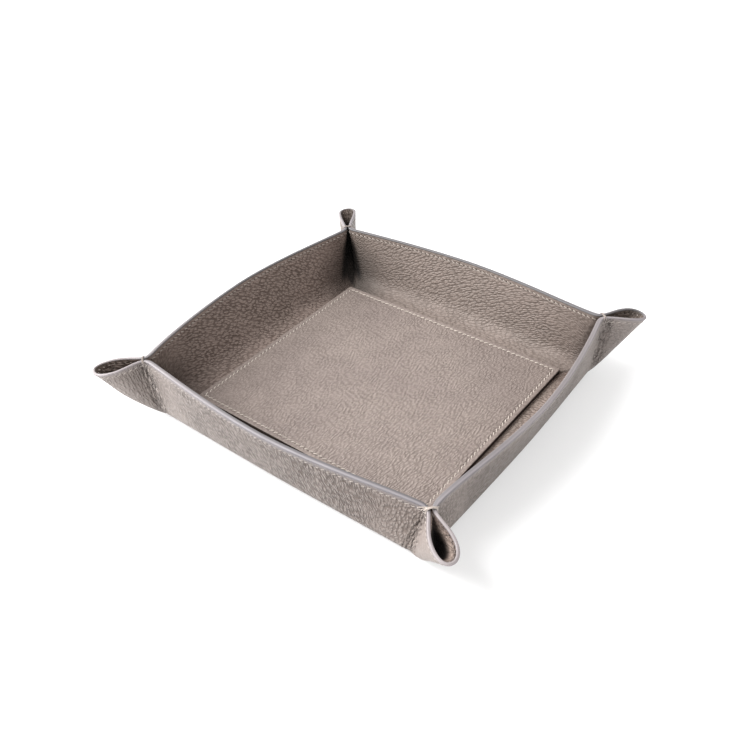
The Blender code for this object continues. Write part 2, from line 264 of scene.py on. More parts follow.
def wholeLoft():
    halves, ids = [], []
    for number, corner in enumerate(corners):
        before, after = (walls[name] for name in corner["walls"])
        first, second = halfLoft(before, after, corner), halfLoft(after, before, corner)
        halves += [{k: v[:, :-1] for k, v in first.items()}, {k: v[:, :0:-1] for k, v in second.items()}]
        ids += [2 * number, 2 * number + 1]
    loft = {k: np.concatenate([h[k] for h in halves], axis=1) for k in halves[0]}
    loft["half"] = np.concatenate([np.full(h["rows"].shape[1], i) for h, i in zip(halves, ids)])
    along = np.roll(loft["rows"], -1, axis=1) - np.roll(loft["rows"], 1, axis=1)
    loft["normal"] = unit(np.cross(along, np.gradient(loft["rows"], axis=0)))
    loft["up"] = unit(loft["rows"][-1] - loft["rows"][-3])
    return loft


loft = wholeLoft()
columns = loft["rows"].shape[1]
print("tray: middle surface has", loft["rows"].shape[0], "rows and", columns, "columns")

# Stitch line of the rim: the same holes go through both skins

rimSeam = {"margin": 3.5, "pitch": 3.7, "sunkInEars": 0.34, "sunkReach": (1, 4),
           "hole": (0.15, 0.75), "holeDepth": 0.6, "groove": 1.3, "grooveDepth": 0.4}
seamLine = loft["rows"][-1] - rimSeam["margin"] * loft["up"]
seamArc = arcOf(np.concatenate([seamLine, seamLine[:1]]))
rimSeam["count"] = round(seamArc[-1] / rimSeam["pitch"])
phase = seamArc / seamArc[-1] * rimSeam["count"]  # stitches counted round the rim
print("tray: rim seam is %.0f mm with %d stitches" % (seamArc[-1], rimSeam["count"]))

# Creases that run down the outside below each pinch, where the leather is squeezed together

creases = {
    "count": 5, "spacing": 1.9, "spread": 0.7,       # side by side, opening downwards
    "depth": 1.0, "width": 0.6, "from": 0.5, "to": 42.0, "fade": 9,
    "wobble": 0.6, "waves": (4.5, 8.0, 15.0),
    "lipOff": 1.8, "lipWide": 1.3, "lipShare": 0.3,  # low ridges beside each crease, placed in its widths
    # how much one crease may differ from another, and how much weaker each is from the middle outwards
    "shaken": 0.3, "waveSize": (0.4, 1), "waveLength": (0.8, 1.2), "strength": (0.5, 1.0), "later": 5,
    "weaker": 0.12,
}


def creaseDepth():
    random = np.random.default_rng(seed)
    depth = np.zeros(loft["across"].shape)
    off, wide = creases["lipOff"], creases["lipWide"]
    for half in range(8):
        mine = loft["half"] == half
        across, drop = loft["across"][:, mine], loft["drop"][:, mine]
        total, shift = np.zeros(across.shape), corners[half // 2]["foldShift"]
        fanned = 1 + creases["spread"] * (np.clip(drop / creases["to"], 0, 1) - 0.5)
        for number in range(creases["count"]):
            place = number - (creases["count"] - 1) / 2
            middle = (place * creases["spacing"] + random.normal(0, creases["shaken"])) * fanned + shift
            waves = [(creases["wobble"] * random.uniform(*creases["waveSize"]),
                      w * random.uniform(*creases["waveLength"]), random.uniform(0, 6.28))
                     for w in creases["waves"]]
            wander = sum(a * np.sin(6.28 * drop / w + p) for a, w, p in waves)
            x = (across - middle - wander) / creases["width"]
            strength = random.uniform(*creases["strength"]) * (1 - creases["weaker"] * abs(place))
            start = creases["from"] + random.uniform(0, creases["later"])
            ended = smooth(creases["to"] - creases["fade"], creases["to"], drop)
            lips = np.exp(-((x - off) / wide)**2) + np.exp(-((x + off) / wide)**2)
            shape = np.exp(-x * x) - creases["lipShare"] * lips
            total += strength * smooth(start - 2, start + 3, drop) * (1 - ended) * shape
        depth[:, mine] = creases["depth"] * total
    return depth


creased = creaseDepth()

# The two skins: closed shells, with the cut layout and the seam kept on them for their finish

paint = {"half": 1.58, "lip": 1.15, "under": 0.87, "clear": 0.05, "squareness": 3.0, "steps": 16}
seamGroove = {"radius": 0.8, "rings": 7}
lastRow = len(loft["rows"]) - 2  # the top row is the rim itself
thin = smooth(*tray["paredAcross"], loft["across"]) * (1 - smooth(*tray["paredDown"], loft["drop"]))
pared = 1 - (1 - tray["skived"]) * thin
offset = {"outside": tray["leather"] * pared - creased, "inside": -tray["leather"] * pared,
          "hiddenOutside": np.full(creased.shape, tray["glueLine"]),
          "hiddenInside": np.full(creased.shape, -tray["glueLine"])}
earFacts = ("earGrain", "earFlankShade", "earLipLight", "earShade", "cornerShade", "foldShade", "folds", "foldShift",
            "earEdgeLight", "sideLightShade")
wallFacts = ("footLightShade", "outLightShade", "bold", "inShade", "contactShadow")
spots = {key: np.array([corners[h // 2][key] for h in loft["half"]]) for key in earFacts}
for key in wallFacts:
    spots[key] = np.array([walls[corners[h // 2]["walls"][h % 2]][key] for h in loft["half"]])
sideReach = (-105, -20)  # a corner's own painted light, or painted shade where it is below zero, grows on the outside from the middle of a wall towards the ear
spots["outLightShade"] = spots["outLightShade"] + spots.pop("sideLightShade") * smooth(*sideReach, loft["across"][-1])


def ringOf(row, side):
    co = loft["rows"][row] + loft["normal"][row] * offset[side][row][:, None]
    facts = {k: loft[k][row] for k in ("cut", "across", "toTip", "drop", "toSeam")}
    facts |= spots
    crease = np.clip(creased[row] / creases["depth"], -0.3, 1) * (side == "outside")
    return {"co": np.maximum(co, [-1e9, -1e9, 0]), "crease": crease, **facts}


def hiddenRing():  # of the lining, on the floor under the panel
    inner, first = loft["seam"][0], ringOf(0, "inside")
    co = np.column_stack([inner[:, :2], first["co"][:, 2]])
    drop, toSeam = first["drop"] + first["toSeam"], 0 * first["toSeam"]
    return {**first, "co": co, "cut": inner[:, :2], "drop": drop, "toSeam": toSeam}


def grooveRings():  # on the underside, for the panel's lower stitches
    rings = []
    for angle in np.linspace(math.pi, 0, seamGroove["rings"]):
        way = math.cos(angle) * loft["outward"][0] + [0, 0, math.sin(angle)]
        rings.append({**ringOf(0, "outside"), "co": loft["seam"][0] + seamGroove["radius"] * way})
    return rings


def plainObject(name, vertices, faces, material):
    mesh = bpy.data.meshes.new(name)
    mesh.from_pydata(np.asarray(vertices) * mm, [], faces)
    mesh.shade_smooth()
    mesh.materials.append(material)
    made = bpy.data.objects.new(name, mesh)
    scene.collection.objects.link(made)
    return made


def keep(mesh, name, values, kind="FLOAT", slot="value"):
    kept = mesh.attributes.new(name, kind, "POINT")
    kept.data.foreach_set(slot, np.asarray(values, np.float32).ravel())


def ringFaces(count, size):  # between rings of points, with a cap at each end
    index = np.arange(count * size).reshape(count, size)
    after = np.roll(index, -1, axis=1)
    quads = np.stack([index[:-1], after[:-1], after[1:], index[1:]], axis=-1).reshape(-1, 4).tolist()
    return [index[0, ::-1].tolist(), *quads, index[-1].tolist()]


def shellObject(name, rings, hide, material):  # hide: which way the grain runs over the cut leather
    count = len(rings)
    made = plainObject(name, np.concatenate([r["co"] for r in rings]), ringFaces(count, columns), material)
    mesh = made.data
    flat = {k: np.concatenate([r[k] for r in rings]) for k in rings[0]}
    for key in ("across", "toTip", "drop", "toSeam", "crease", *spots):
        keep(mesh, key, flat[key])
    corner = np.zeros(len(mesh.loops), int)
    mesh.loops.foreach_get("vertex_index", corner)
    turn = math.radians(hide["along"])
    along = flat["cut"] @ [math.cos(turn), math.sin(turn)]
    aside = flat["cut"] @ [-math.sin(turn), math.cos(turn)] + hide["bend"] * (flat["cut"] @ [1, 1])**2
    grain = np.column_stack([along, aside])
    mesh.uv_layers.new(name="grain").data.foreach_set("uv", (grain[corner] * mm).astype(np.float32).ravel())
    sew = np.column_stack([phase[corner % columns], flat["drop"][corner]])
    block = sew[columns:-columns].reshape(count - 1, columns, 4, 2)
    block[:, -1, 1:3, 0] = phase[-1]  # the last column closes on the first
    mesh.uv_layers.new(name="sewing").data.foreach_set("uv", sew.astype(np.float32).ravel())
    return made


def beadObject(name, material):  # painted edge over both skins, a closed ring
    turn = np.linspace(0, math.pi, paint["steps"] + 1)
    power = 2 / paint["squareness"]
    out = paint["half"] * np.sign(np.cos(turn)) * abs(np.cos(turn))**power
    rise = paint["lip"] * (abs(np.sin(turn))**power - 1)
    inner = paint["half"] - paint["clear"]
    out = np.concatenate([out, [-inner, -inner, inner, inner]])
    rise = np.concatenate([rise, [-paint["lip"], -paint["under"], -paint["under"], -paint["lip"]]])
    up, aside = loft["up"], loft["normal"][-1]
    aside = unit(aside - (aside * up).sum(-1, keepdims=True) * up)
    co = loft["rows"][-1] + out[:, None, None] * pared[-1][:, None] * aside + rise[:, None, None] * up
    index = np.arange(len(out) * columns).reshape(len(out), columns)
    after, above = np.roll(index, -1, axis=1), np.roll(index, -1, axis=0)
    faces = np.stack([index, after, np.roll(above, -1, axis=1), above], axis=-1).reshape(-1, 4).tolist()
    made = plainObject(name, co.reshape(-1, 3), faces, material)
    keep(made.data, "overTop", np.repeat(out, columns))
    keep(made.data, "alongRim", np.tile(seamArc[:-1], len(out)))
    keep(made.data, "across", np.tile(loft["across"][-1], len(out)))
    for key in ("earEdgeLight", "outLightShade"):
        keep(made.data, key, np.tile(spots[key], len(out)))
    return made


# Shader helpers, and the groups that several finishes share


class Wire:  # what a node puts out; the signs + - * / and ** make a math node
    def __init__(self, socket):
        self.socket, self.tree = socket, socket.id_data

    def beside(self, key):
        return Wire(self.socket.node.outputs[key])

    def math(self, operation, other=0.0):
        return add(self.tree, "Math", {0: self, 1: other}, operation=operation)

    def __add__(self, other):
        return self.math("ADD", other)

    def __sub__(self, other):
        return self.math("SUBTRACT", other)

    def __rsub__(self, other):
        return add(self.tree, "Math", {0: other, 1: self}, operation="SUBTRACT")

    def __mul__(self, other):
        return self.math("MULTIPLY", other)

    def __rtruediv__(self, other):
        return add(self.tree, "Math", {0: other, 1: self}, operation="DIVIDE")

    def __pow__(self, other):
        return self.math("POWER", other)

    def __abs__(self):
        return self.math("ABSOLUTE")


def add(tree, kind, inputs=None, out=0, **settings):
    made = tree.nodes.new(kind if "Node" in kind else "ShaderNode" + kind)
    for key, value in settings.items():
        setattr(made, key, value)
    for key, value in (inputs or {}).items():
        if isinstance(value, Wire):
            tree.links.new(value.socket, made.inputs[key])
        else:
            made.inputs[key].default_value = value
    return Wire(made.outputs[out])


def link(wire, socket):
    wire.tree.links.new(wire.socket, socket)


def remap(value, low, high, toLow=0.0, toHigh=1.0, kind="SMOOTHSTEP"):
    given = {"Value": value, "From Min": low, "From Max": high, "To Min": toLow, "To Max": toHigh}
    return add(value.tree, "MapRange", given, "Result", interpolation_type=kind)


def noise(place, scale, detail=0.0, kind="2D", out=0, distortion=0.0):
    given = {"Vector": place, "Scale": scale, "Detail": detail, "Distortion": distortion}
    return add(place.tree, "TexNoise", given, out, noise_dimensions=kind)


def attribute(tree, name):
    return add(tree, "Attribute", out="Fac", attribute_name=name)


def objectPlace(tree):
    return add(tree, "TexCoord", out="Object")


def linear(colour):  # 0 to 255 as seen on screen, to what the shader takes
    return [((c / 255 + 0.055) / 1.055)**2.4 if c > 10 else c / 255 / 12.92 for c in colour] + [1.0]


def mixed(share, a, b):  # a colour is a wire, or three numbers as seen on screen
    a, b = (linear(c) if isinstance(c, tuple) else c for c in (a, b))
    return add(share.tree, "Mix", {0: share, 6: a, 7: b}, 2, data_type="RGBA")


shaderSlots = {"roughness": "Roughness", "specular": "Specular IOR Level", "sheen": "Sheen Weight"}


def newMaterial(name, look):
    material = bpy.data.materials.new(name)
    material.use_nodes = True
    shader = material.node_tree.nodes["Principled BSDF"]
    for key, socket in shaderSlots.items():
        shader.inputs[socket].default_value = look.get(key, 0.0)
    return material, material.node_tree, shader.inputs


def raised(relief, inputs, distance=mm):  # relief in units of the distance
    link(add(relief.tree, "Bump", {"Distance": distance, "Height": relief}), inputs["Normal"])


def newGroup(name, inputs, outputs):  # an input without a value is a place
    tree = bpy.data.node_groups.new(name, "ShaderNodeTree")
    for key, value in inputs.items():
        kind = "NodeSocketVector" if value is None else "NodeSocketFloat"
        socket = tree.interface.new_socket(key, in_out="INPUT", socket_type=kind)
        if value is not None:
            socket.default_value = value
    for key in outputs:
        tree.interface.new_socket(key, in_out="OUTPUT", socket_type="NodeSocketFloat")
    return tree, givenTo(tree), tree.nodes.new("NodeGroupOutput").inputs


def givenTo(tree):
    return {socket.name: Wire(socket) for socket in tree.nodes.new("NodeGroupInput").outputs if socket.name}


pebbleShape = {"driftScale": 0.12, "drift": (1.4, 1.4, 0.0), "shakeScale": 1.1, "shake": (0.45, 0.45, 0.0),
               "uneven": 0.8, "dome": 0.8, "dip": 0.35, "poreScale": 4.0, "poreHeight": 0.4,
               "patchScale": 0.1, "patch": (0.3, 0.7), "weakest": 0.7}
wrinkleShape = {"slow": 0.22, "scale": 0.5, "detail": 2.5, "bent": 0.6, "full": 0.45, "line": 0.09}


def pebbleGroup():  # full-grain leather: long round swellings, side by side
    tree, given, out = newGroup("leatherPebble", {
        "Place": None, "Pebble": 0.0016, "Long": 0.5, "Fine Grain": 0.25, "Dip From": 0.14, "Dip To": 0.56},
        ("Height", "Valley"))
    shape = pebbleShape
    whole = add(tree, "VectorMath", {0: given["Place"], "Scale": 1.0 / given["Pebble"]}, operation="SCALE")
    drift = noise(whole, shape["driftScale"], out="Color")
    bent = add(tree, "VectorMath", {0: drift, 1: shape["drift"], 2: whole}, operation="MULTIPLY_ADD")
    stretch = add(tree, "CombineXYZ", {0: given["Long"], 1: 1.0, 2: 1.0})
    cells = add(tree, "VectorMath", {0: bent, 1: stretch}, operation="MULTIPLY")
    shake = noise(cells, shape["shakeScale"], out="Color")
    cells = add(tree, "VectorMath", {0: shake, 1: shape["shake"], 2: cells}, operation="MULTIPLY_ADD")
    domes = add(tree, "TexVoronoi", {"Vector": cells, "Scale": 1.0, "Randomness": shape["uneven"]},
                "Distance", voronoi_dimensions="2D", feature="F1")
    dip = remap(domes, given["Dip From"], given["Dip To"])
    pores = noise(whole, shape["poreScale"], 3.0) * given["Fine Grain"]
    patches = noise(whole, shape["patchScale"], 2.0)
    strength = remap(patches, *shape["patch"], shape["weakest"], 1.0, "LINEAR")
    swell = dip * -shape["dip"] + domes * -shape["dome"]
    link(pores * shape["poreHeight"] + swell * strength, out["Height"])
    link(dip * strength, out["Valley"])
    return tree


def seamGroup():  # leather drawn in along a stitch line, with its holes
    tree, given, out = newGroup("seamPull", {"Stitches": 0.0, "Distance": 0.0}, ("Height", "Hole"))
    off = abs(given["Distance"])
    beat = abs((given["Stitches"] + 0.5).math("FRACT") - 0.5) * rimSeam["pitch"]
    hole = remap((beat**2.0 + off**2.0).math("SQRT"), *rimSeam["hole"], 1.0, 0.0)
    groove = remap(off, 0.0, rimSeam["groove"], 1.0, 0.0)
    link(hole * -rimSeam["holeDepth"] + groove * -rimSeam["grooveDepth"], out["Height"])
    link(hole, out["Hole"])
    return tree


def squeezeGroup():  # fine wrinkles that run down a squeezed strip of leather
    tree, given, out = newGroup("squeezeWrinkles", {
        "Across": 0.0, "Down": 0.0, "Pitch": 1.2, "Half Width": 8.0}, ("Height", "Line"))
    shape = wrinkleShape
    pitches = given["Across"].math("DIVIDE", given["Pitch"])
    place = add(tree, "CombineXYZ", {0: pitches, 1: given["Down"] * shape["slow"]})
    waves = noise(place, shape["scale"], shape["detail"], distortion=shape["bent"])
    half = given["Half Width"]
    near = remap(abs(given["Across"]), half * shape["full"], half, 1.0, 0.0)
    line = remap(abs(waves - 0.5), 0.0, shape["line"], 1.0, 0.0) * near
    link(waves * near - line, out["Height"])
    link(line, out["Line"])
    return tree


pebble, seamPull, squeeze = pebbleGroup(), seamGroup(), squeezeGroup()


def pebbled(place, look, size, long, dip=(0.14, 0.56)):
    given = {"Place": place, "Pebble": look[size], "Long": look[long], "Fine Grain": look["fineGrain"],
             "Dip From": dip[0], "Dip To": dip[1]}
    return add(place.tree, "Group", given, node_tree=pebble)


def pulledIn(stitches, distance):
    return add(distance.tree, "Group", {"Stitches": stitches, "Distance": distance}, node_tree=seamPull)


def wrinkled(across, drop, pitch, halfWidth):
    given = {"Across": across, "Down": drop, "Pitch": pitch, "Half Width": halfWidth}
    return add(across.tree, "Group", given, node_tree=squeeze)


# Leather of the skins; a reach is where an effect starts and ends, in mm past the pinch or below the rim

reach = {
    "ear": (-1.0, 4.0), "earFlankShade": (3.0, 24.0), "pressed": (1.0, 6.0), "nose": (3.0, 24.0),
    "lip": (2.0, 7.0), "lipDown": (2.0, 9.0), "corner": (-50.0, -4.0), "cornerDown": (6.0, 26.0),
    "contactShadow": (3.6, 6.0), "fold": (-7.0, -1.0), "foldDown": (3.0, 16.0), "foldFoot": (37.0, 48.0),
    "tone": (-0.05, 0.05), "ridgeHighlight": (-0.25, 0.0), "cloud": (0.3, 0.7),  # these three aren't lengths
}
bothSkins = {
    "cloudScale": 26.0, "cloudRough": 0.1, "valleyRough": 0.12, "furrowShare": 0.9, "holeShadeShare": 0.75,
    "raggedScale": 420.0, "paintedShadeColour": (90, 78, 72), "footSpares": 0.6,  # the foot's painted light and shade spare the valleys
}
outerLook = {
    **bothSkins, "roughness": 0.52, "specular": 0.35,
    "deep": (124, 114, 109), "light": (132, 122, 117), "valley": (72, 62, 56), "valleyDark": 0.95,
    "pebble": 0.0014, "grainLong": 0.36, "fineGrain": 0.5, "grainDepth": 1.8, "dip": (0.26, 0.56),
    "furrow": 0.0019, "furrowLong": 0.6, "furrowReach": (8.0, 40.0), "furrowDepth": 0.9,
    "wrinklePitch": 2.0, "wrinkleReach": 8.0, "wrinkleEnd": (5.0, 9.0), "wrinkleDepth": 1.2,
    "wrinkleShade": 0.6, "creaseShadeColour": (39, 30, 26), "ridgeHighlightShare": 0.8, "ridgeHighlightColour": (158, 148, 141),
    "edgeCalm": 0.25, "seamDepth": 0.25,
    "rolled": (1.4, 4.2), "ragged": 5.0, "rolledShare": 0.6, "rolledColour": (105, 101, 105),
    "footShare": 0.35, "footLight": (150, 142, 137), "footAt": (12.0, 42.0), "footEnd": (30.0, 40.0),
    "outLitColour": (146, 138, 134), "earFlankShadeShare": 0.7, "earFlankShadeLast": 0.35, "earFlankShadeColour": (82, 72, 67),
}
liningLook = {
    **bothSkins, "roughness": 0.55, "specular": 0.3,
    "deep": (122, 108, 101), "light": (129, 114, 107), "valley": (68, 55, 48), "valleyDark": 0.72,
    "pebble": 0.0017, "grainLong": 0.52, "fineGrain": 0.4, "grainDepth": 0.8, "dip": (0.28, 0.6),
    "furrow": 0.0018, "furrowLong": 0.5, "furrowReach": (8.0, 34.0), "furrowDepth": 0.8,
    "fanFoot": 46.0, "fanNear": 45.0, "fanFar": 40.0,  # where the fan of furrows starts, and how it opens
    "wrinklePitch": 1.2, "wrinkleReach": 5.0, "wrinkleEnd": (-0.5, 2.0), "wrinkleDepth": 0.1,
    "wrinkleShade": 0.2, "nosePitch": 2.0, "noseReach": 36.0, "noseDepth": 0.7, "noseShade": 0.85,
    "creaseShadeColour": (34, 26, 22), "edgeCalm": 0.4, "seamDepth": 0.3,
    "rolled": (0.6, 2.2), "ragged": 1.0, "rolledShare": 0.5, "rolledColour": (80, 77, 73),
    "footShare": 1.0, "footLight": (133, 121, 113), "footAt": (47.0, 60.0), "footEnd": (-16.0, -4.0),
    "lipShare": 0.95, "lipLightColour": (172, 154, 143), "cornerShadeShare": 0.7,
    "inShadeColour": (80, 80, 76), "foldShadeShare": 0.95, "earReach": (7.0, 16.0), "earShadowShare": 0.95,
    "earShadowColour": (12, 8, 6), "earDull": 0.45, "earShadeColour": (60, 48, 40),
}


def leatherMaterial(name, look, inside):
    material, tree, inputs = newMaterial(name, look)
    hide = add(tree, "UVMap", uv_map="grain")
    sewing = add(tree, "SeparateXYZ", {0: add(tree, "UVMap", uv_map="sewing")})
    across, drop, crease = (attribute(tree, key) for key in ("across", "drop", "crease"))
    folds, footLightShade = attribute(tree, "folds"), attribute(tree, "footLightShade")
    inEar = remap(across, *reach["ear"])
    onWall = 1.0 - inEar

    # near a corner the swellings are drawn out into furrows, inside in a fan from the corner's foot
    if inside:
        fan = (look["fanNear"] + look["fanFar"]) / (abs(across) + look["fanNear"])
        pulledPlace = add(tree, "CombineXYZ", {0: across * mm, 1: (look["fanFoot"] - drop) * fan * mm})
    else:
        pulledPlace = add(tree, "CombineXYZ", {0: drop * mm, 1: across * mm})
    grain = pebbled(hide, look, "pebble", "grainLong", look["dip"])
    furrow = pebbled(pulledPlace, look, "furrow", "furrowLong")
    pulled = remap(abs(across), *look["furrowReach"], 1.0, 0.0) * look["furrowShare"] * onWall
    calm = remap(drop, *reach["pressed"], look["edgeCalm"], 1.0) * attribute(tree, "bold")
    if not inside:
        calm = calm * (inEar * (attribute(tree, "earGrain") - 1.0) + 1.0)
    height = add(tree, "Mix", {0: pulled, 2: grain, 3: furrow}) * calm
    valley = add(tree, "Mix", {0: pulled, 2: grain.beside("Valley"), 3: furrow.beside("Valley")}) * calm
    height = height * (pulled * (look["furrowDepth"] - look["grainDepth"]) + look["grainDepth"])

    # seam and wrinkles
    seam = pulledIn(sewing, sewing.beside("Y") - rimSeam["margin"])
    fromFold = across - attribute(tree, "foldShift")
    pinched = wrinkled(fromFold, drop, look["wrinklePitch"], look["wrinkleReach"])
    wallSide = folds * remap(across, *look["wrinkleEnd"], 1.0, 0.0)
    relief = pinched * wallSide * look["wrinkleDepth"] + (seam * look["seamDepth"] + height)
    line = pinched.beside("Line") * wallSide * look["wrinkleShade"]
    if inside:
        nose = wrinkled(attribute(tree, "toTip"), drop, look["nosePitch"], look["noseReach"])
        nearTop = remap(drop, *reach["nose"], 1.0, 0.0)
        relief = relief + nose * nearTop * look["noseDepth"]
        line = line + nose.beside("Line") * nearTop * look["noseShade"]
    raised(relief, inputs)

    # colour, from the bare grain outwards
    cloud = noise(hide, look["cloudScale"], 3.0, "3D")
    colour = mixed(remap(cloud, *reach["cloud"]), look["deep"], look["light"])
    colour = mixed(valley * look["valleyDark"], colour, look["valley"])
    if not inside:
        # painted highlight on the low ridges beside the creases
        ridgeHighlight = remap(crease, *reach["ridgeHighlight"], look["ridgeHighlightShare"], 0.0, "LINEAR")
        colour = mixed(ridgeHighlight * folds, colour, look["ridgeHighlightColour"])
    # painted shade in the creases and wrinkle lines, and in the stitch holes below
    colour = mixed(crease.math("MAXIMUM", line), colour, look["creaseShadeColour"])
    colour = mixed(seam.beside("Hole") * look["holeShadeShare"], colour, look["creaseShadeColour"])
    ragged = (noise(hide, look["raggedScale"], 2.0) - 0.5) * look["ragged"]
    rolled = remap(ragged + drop, *look["rolled"], 1.0, 0.0)  # edge paint rubbed on to the grain
    colour = mixed(rolled * look["rolledShare"], colour, look["rolledColour"])
    if inside:
        # painted light on the inner face of an ear near its lip
        lip = remap(across, *reach["lip"]) * remap(drop, *reach["lipDown"]) * attribute(tree, "earLipLight")
        colour = mixed(lip * look["lipShare"], colour, look["lipLightColour"])
    # painted light near the foot of each wall, painted shade where the wall's foot value is below zero
    atFoot = remap(drop, *look["footAt"]) * remap(across, *look["footEnd"], look["footShare"], 0.0)
    footLitOrShaded = mixed(remap(footLightShade, *reach["tone"]), look["paintedShadeColour"], look["footLight"])
    colour = mixed(atFoot * (valley * -look["footSpares"] + 1.0) * abs(footLightShade), colour, footLitOrShaded)
    rough = valley * look["valleyRough"] + look["roughness"] + (cloud - 0.5) * look["cloudRough"]
    if inside:
        # painted shade on the lining walls, growing towards the corners
        corner = remap(across, *reach["corner"])**2.0 * attribute(tree, "cornerShade") * look["cornerShadeShare"]
        corner = corner * remap(drop, *reach["cornerDown"]) * onWall
        # painted contact shadow on the lining along the panel's edge
        contactShadow = remap(attribute(tree, "toSeam"), *reach["contactShadow"], 1.0, 0.0) * attribute(tree, "contactShadow")
        colour = mixed(corner.math("MAXIMUM", contactShadow), colour, look["creaseShadeColour"])
        # painted shade on the inside of a wall, by its inside value
        colour = mixed(attribute(tree, "inShade"), colour, look["inShadeColour"])
        # near-black painted shade down the fold where the walls meet at a corner
        fold = remap(across, *reach["fold"]) * remap(drop, *reach["foldDown"]) * attribute(tree, "foldShade")
        fold = fold * remap(drop, *reach["foldFoot"], 1.0, 0.0)
        colour = mixed(fold * look["foldShadeShare"], colour, look["earShadowColour"])
        # near-black painted shadow deep inside each ear, with painted shade over the rest of its inside
        deepEar = inEar * remap(drop, *look["earReach"])
        colour = mixed(deepEar * look["earShadowShare"], colour, look["earShadowColour"])
        colour = mixed(inEar * (1.0 - deepEar) * attribute(tree, "earShade"), colour, look["earShadeColour"])
        rough = rough + deepEar * look["earShadowShare"] * look["earDull"]
    else:
        # painted light on the outside of a wall where its value is above zero, painted shade where it is
        # below zero
        outLightShade = attribute(tree, "outLightShade")
        outLitOrShaded = mixed(remap(outLightShade, *reach["tone"]), look["paintedShadeColour"], look["outLitColour"])
        colour = mixed(abs(outLightShade), colour, outLitOrShaded)
        # painted shade on the outside of an ear, strongest near the neck
        shaded = remap(across, *reach["earFlankShade"], 1.0, look["earFlankShadeLast"]) * inEar
        shaded = shaded * attribute(tree, "earFlankShade") * look["earFlankShadeShare"]
        colour = mixed(shaded, colour, look["earFlankShadeColour"])
    link(colour, inputs["Base Color"])
    link(rough, inputs["Roughness"])
    return material


def paintMaterial(name, look):  # edge paint, burnished smooth over both skins
    material, tree, inputs = newMaterial(name, look)
    place, over = objectPlace(tree), attribute(tree, "overTop")
    along = attribute(tree, "alongRim") * look["linesAlong"]
    lines = noise(add(tree, "CombineXYZ", {0: along, 1: over * look["linesOver"]}), 1.0, 3.0)
    # painted highlight along the top of the painted edge
    ridgeHighlight = remap(abs(over - look["ridgeAt"]), *look["ridgeReach"], 1.0, 0.0)
    colour = mixed(remap(over, *look["sides"]), look["inner"], look["outer"])
    colour = mixed(remap(lines, *reach["cloud"], 0.0, look["lineShare"]), colour, look["deep"])
    colour = mixed(ridgeHighlight * look["ridgeHighlightShare"], colour, look["ridgeHighlight"])
    patch = remap(noise(place, look["patchScale"], 2.0, "3D"), *look["patch"], 0.0, look["patchShare"])
    colour = mixed(patch, colour, look["deep"])
    # painted light on the edge paint at the ears, and where the outside wall has painted light
    ear = remap(attribute(tree, "across"), *look["earReach"]) * attribute(tree, "earEdgeLight")
    paintedLight = ear.math("MAXIMUM", attribute(tree, "outLightShade")) * look["paintedLightShare"]
    link(mixed(paintedLight, colour, look["paintedLight"]), inputs["Base Color"])
    link(lines * 0.25 + (look["roughness"] - 0.12), inputs["Roughness"])
    fine = noise(place, look["fineScale"], 2.0, "3D") * look["fineDepth"]
    raised(lines * look["lineDepth"] + fine, inputs)
    return material


def panelMaterial(name, look):
    material, tree, inputs = newMaterial(name, look)
    place, distance = objectPlace(tree), attribute(tree, "fromSeam")
    turn = (0, 0, math.radians(-look["grainAlong"]))
    grain = pebbled(add(tree, "Mapping", {"Vector": place, "Rotation": turn}), look, "pebble", "grainLong")
    valley = grain.beside("Valley")
    seam = pulledIn(attribute(tree, "stitches"), distance)
    aside = add(tree, "VectorMath", {0: place, 1: look["cornerWay"]}, "Value", operation="DOT_PRODUCT")
    # painted shade on the panel towards its left and right corners, in the valley colour
    corner = remap(abs(aside), *look["cornerReach"], 0.0, look["cornerShadeShare"])
    cloud = remap(noise(place, look["cloudScale"], 3.0, "3D"), *reach["cloud"])
    colour = mixed(cloud, look["deep"], look["light"])
    colour = mixed(corner, colour, look["valley"])
    colour = mixed(valley * look["valleyDark"], colour, look["valley"])
    # painted shade in the stitch holes
    colour = mixed(seam.beside("Hole") * look["holeShadeShare"], colour, look["hole"])
    link(mixed(attribute(tree, "ink"), colour, look["ink"]), inputs["Base Color"])
    link(valley * look["valleyRough"] + look["roughness"], inputs["Roughness"])
    calm = remap(distance, *look["pressed"], look["edgeCalm"], 1.0)
    calm = calm * remap(aside, *look["cornerReach"], 1.0, look["cornerCalm"])
    raised(seam * look["seamDepth"] + grain * calm * look["grainDepth"], inputs)
    return material


def boardMaterial(name, look):  # inked edge of layered board
    material, tree, inputs = newMaterial(name, look)
    layers = add(tree, "Mapping", {"Vector": objectPlace(tree), "Scale": look["layers"]})
    fibre = noise(layers, 1.0, 3.0, "3D")
    link(mixed(remap(fibre, *reach["cloud"]), look["deep"], look["light"]), inputs["Base Color"])
    link(fibre * 0.2 + (look["roughness"] - 0.1), inputs["Roughness"])
    raised(fibre, inputs, 0.1 * mm)
    return material


ply = {"count": 3.0, "groove": (0.3, 0.5), "grooveShare": 0.7, "grooveDepth": 0.12,
       "fuzzScale": 4000.0, "fuzz": (0.35, 0.65), "fuzzDepth": 0.02, "sheen": 0.2}


def threadMaterial(name, deep, light, between, turns, roughness, specular):  # plies laid up together
    material, tree, inputs = newMaterial(name, {**ply, "roughness": roughness, "specular": specular})
    laid = attribute(tree, "alongThread") * turns + attribute(tree, "roundThread") * ply["count"]
    groove = remap(abs(laid.math("FRACT") - 0.5), *ply["groove"])
    fuzz = noise(objectPlace(tree), ply["fuzzScale"], 2.0, "3D")
    colour = mixed(remap(fuzz, *ply["fuzz"]), deep, light)
    # painted shade between the plies
    link(mixed(groove * ply["grooveShare"], colour, between), inputs["Base Color"])
    raised(groove * -ply["grooveDepth"] + fuzz * ply["fuzzDepth"], inputs)
    return material


